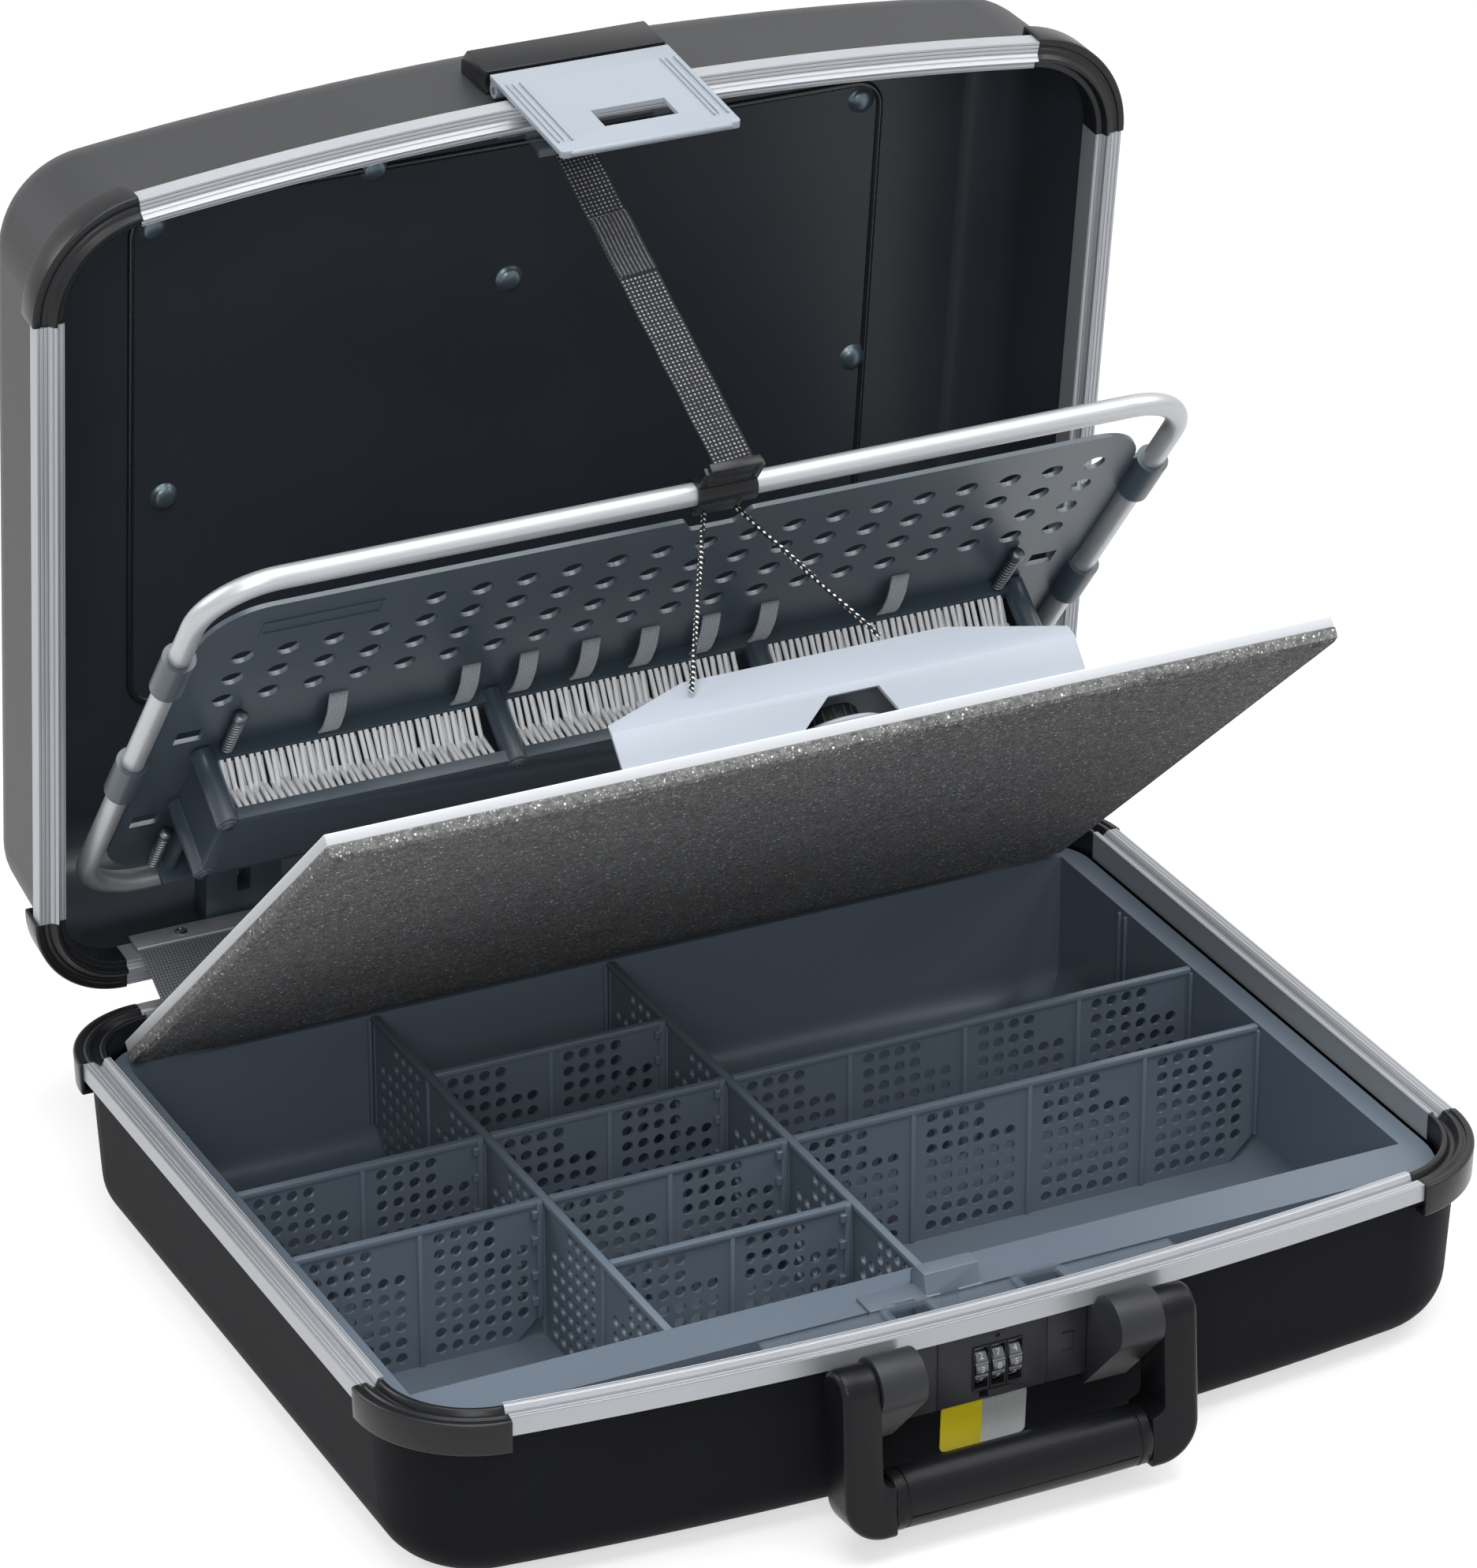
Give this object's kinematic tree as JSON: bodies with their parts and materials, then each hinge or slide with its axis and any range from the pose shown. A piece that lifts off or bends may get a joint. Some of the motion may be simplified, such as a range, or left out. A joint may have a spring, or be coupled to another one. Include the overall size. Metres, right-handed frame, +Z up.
{
  "type": "tool case",
  "caption": "Hard-shell tool case standing open: divided tray, hold-down board, folding tool board with tool holder, strap stay, dial lock, flap latch and folding handle",
  "frame": {"origin": "centre of the flat underside of the base, midway between the sides", "axes": "+Z up, +X to the right seen from the handle side, -Y towards the handle, +Y towards the hinge; the lid stands open at rest"},
  "size_m": [0.4882, 0.4954, 0.472],
  "materials": {
    "shell_black": "fine grained",
    "cap_black": "semi-gloss moulded",
    "rim_metal": "satin extruded",
    "tray_grey": "fine grained",
    "slate_plastic": "satin moulded",
    "clear_plastic": "smoky clear",
    "lock_black": "satin moulded",
    "dial_chrome": "polished, engraved",
    "steel": "bright",
    "plate_print": "printed in two plain colours",
    "handle_black": "semi-gloss grained",
    "latch_grey": "satin moulded",
    "tube_metal": "matt anodised",
    "bristle_white": "satin",
    "loop_grey": "woven elastic",
    "webbing": "woven with pale flecks",
    "band_cloth": "ribbed weave",
    "cord_elastic": "braided cover with white flecks",
    "board_white": "smooth",
    "foam_dark": "open-cell foam with bright specks",
    "bracket_grey": "smooth moulded"
  },
  "bodies": {
    "base": {"base_shell": "shell_black", "base_profile_front": "rim_metal", "base_profile_back": "rim_metal", "base_profile_left": "rim_metal", "base_profile_right": "rim_metal", "base_corner_caps": "cap_black", "tray": "tray_grey", "long_divider_left": "tray_grey", "long_divider_middle": "tray_grey", "cross_dividers_left": "tray_grey", "cross_dividers_middle": "tray_grey", "cross_dividers_right": "tray_grey", "tray_clip": "tray_grey", "latch_keeper": "clear_plastic", "lock_panel": "lock_black", "dial_axle": "steel", "badge_plate": "plate_print", "handle_bracket_left": "lock_black", "handle_bracket_right": "lock_black", "handle_pins": "steel", "hinge_pin": "steel", "base_hinge_leaf": "rim_metal"},
    "lid": {"lid_shell": "shell_black", "lid_profile_front": "rim_metal", "lid_profile_back": "rim_metal", "lid_profile_left": "rim_metal", "lid_profile_right": "rim_metal", "lid_corner_caps": "cap_black", "lid_buttons": "steel", "latch_housing": "cap_black", "latch_pin": "steel", "lid_catch": "clear_plastic", "lid_hinge_leaf": "rim_metal", "frame_brackets": "slate_plastic", "clamp_strip": "rim_metal", "clamp_screws": "steel", "strap": "webbing", "hinge_band": "band_cloth"},
    "tool_board": {"frame_tube": "tube_metal", "tool_panel": "slate_plastic", "tool_holder": "slate_plastic", "holder_bristles": "bristle_white", "holder_screws": "steel", "elastic_loops": "loop_grey", "spring_pegs": "steel", "strap_loop": "cap_black", "elastic_cord": "cord_elastic"},
    "hold_down": {"board_sheet": "board_white", "board_foam": "foam_dark", "board_bracket": "bracket_grey", "bracket_screws": "steel"},
    "knob": {"board_knob": "slate_plastic"},
    "latch": {"latch_flap": "latch_grey", "latch_strike": "steel"},
    "handle": {"handle_frame": "handle_black", "handle_grip": "handle_black"},
    "dial_one": {"dial_left": "dial_chrome"},
    "dial_two": {"dial_centre": "dial_chrome"},
    "dial_three": {"dial_right": "dial_chrome"},
    "bolt": {"lock_bolt": "steel"}
  },
  "joints": [
    {"name": "lid_hinge", "type": "hinge", "parent": "base", "child": "lid", "pos_m": [0, 0.1909, 0.078], "axis": [1, 0, 0], "range_deg": [0, 83.5], "deforming": ["hinge_band"]},
    {"name": "board_fold", "type": "hinge", "parent": "lid", "child": "tool_board", "pos_m": [0, 0.2119, 0.12337], "axis": [1, 0, 0], "range_deg": [-41.8, 0], "deforming": ["strap"]},
    {"name": "hold_down_hinge", "type": "hinge", "parent": "base", "child": "hold_down", "pos_m": [0, 0.155, 0.0754], "axis": [1, 0, 0], "range_deg": [0, 41.6], "deforming": ["elastic_cord"]},
    {"name": "knob_turn", "type": "hinge", "parent": "hold_down", "child": "knob", "pos_m": [0.006, -0.04583, 0.26039], "axis": [0, 0.6639, 0.7478], "range_deg": [0, 90]},
    {"name": "latch_hinge", "type": "hinge", "parent": "lid", "child": "latch", "pos_m": [0, 0.17016, 0.46323], "axis": [1, 0, 0], "range_deg": [-90, 0]},
    {"name": "handle_hinge", "type": "hinge", "parent": "base", "child": "handle", "pos_m": [0, -0.209, 0.0715], "axis": [1, 0, 0], "range_deg": [-100, 0]},
    {"name": "dial_one_turn", "type": "hinge", "parent": "base", "child": "dial_one", "pos_m": [-0.0048, -0.1861, 0.056], "axis": [1, 0, 0], "continuous": true},
    {"name": "dial_two_turn", "type": "hinge", "parent": "base", "child": "dial_two", "pos_m": [0.0026, -0.1861, 0.056], "axis": [1, 0, 0], "continuous": true},
    {"name": "dial_three_turn", "type": "hinge", "parent": "base", "child": "dial_three", "pos_m": [0.01, -0.1861, 0.056], "axis": [1, 0, 0], "continuous": true},
    {"name": "bolt_slide", "type": "slide", "parent": "base", "child": "bolt", "axis": [1, 0, 0], "range_m": [-0.003, 0], "stiffness_N_per_m": 40, "springref_m": 0.004}
  ],
  "couplings": [
    {"joint": "board_fold", "follows": "lid_hinge", "ratio": -0.5},
    {"joint": "hold_down_hinge", "follows": "lid_hinge", "ratio": 0.498}
  ]
}
